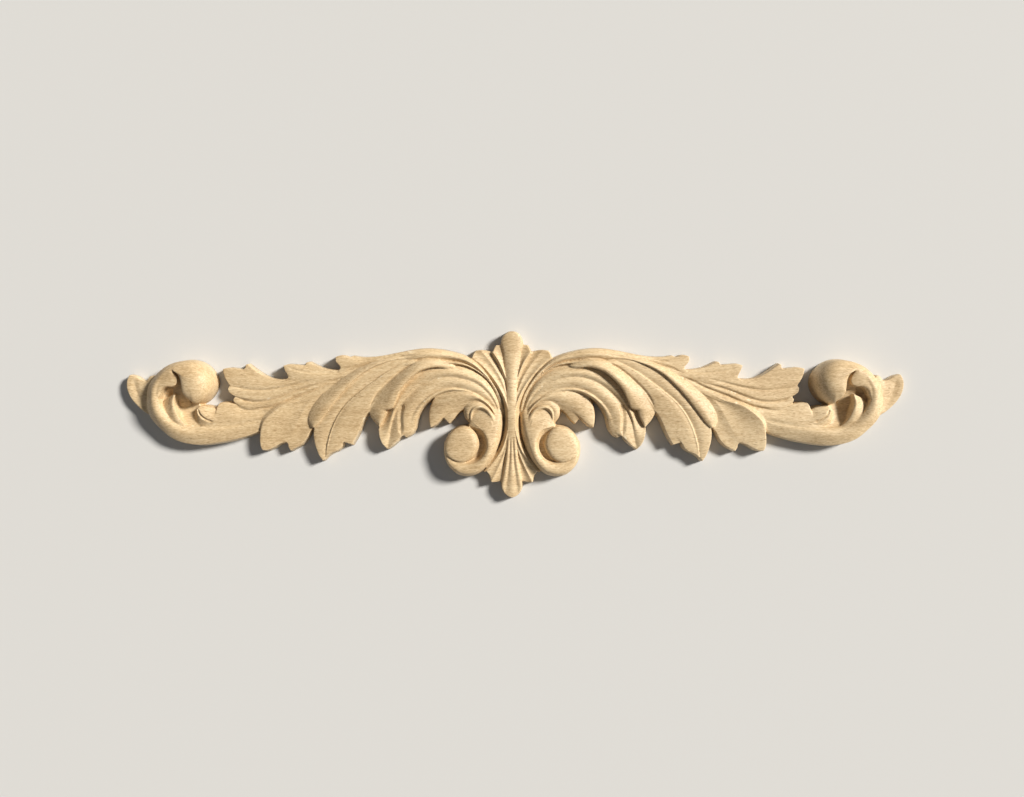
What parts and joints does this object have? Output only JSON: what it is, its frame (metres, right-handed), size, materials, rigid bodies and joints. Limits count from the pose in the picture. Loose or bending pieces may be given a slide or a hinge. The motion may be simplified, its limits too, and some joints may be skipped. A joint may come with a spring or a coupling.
{
  "type": "carved leaf onlay",
  "caption": "Long flat-backed carved wood onlay: a central palmette with scrolls, sweeping acanthus leaves and rolled ends to both sides.",
  "frame": {"origin": "middle of the flat back, under the waist of the palmette", "axes": "+Z out of the flat back towards the carving, +X along the onlay, +Y towards the top of the palmette"},
  "size_m": [0.5016, 0.1081, 0.02],
  "materials": {
    "carved_wood": "bare sanded beech, satin matte"
  },
  "bodies": {
    "root": {"carved_leaf_onlay": "carved_wood"}
  },
  "joints": []
}
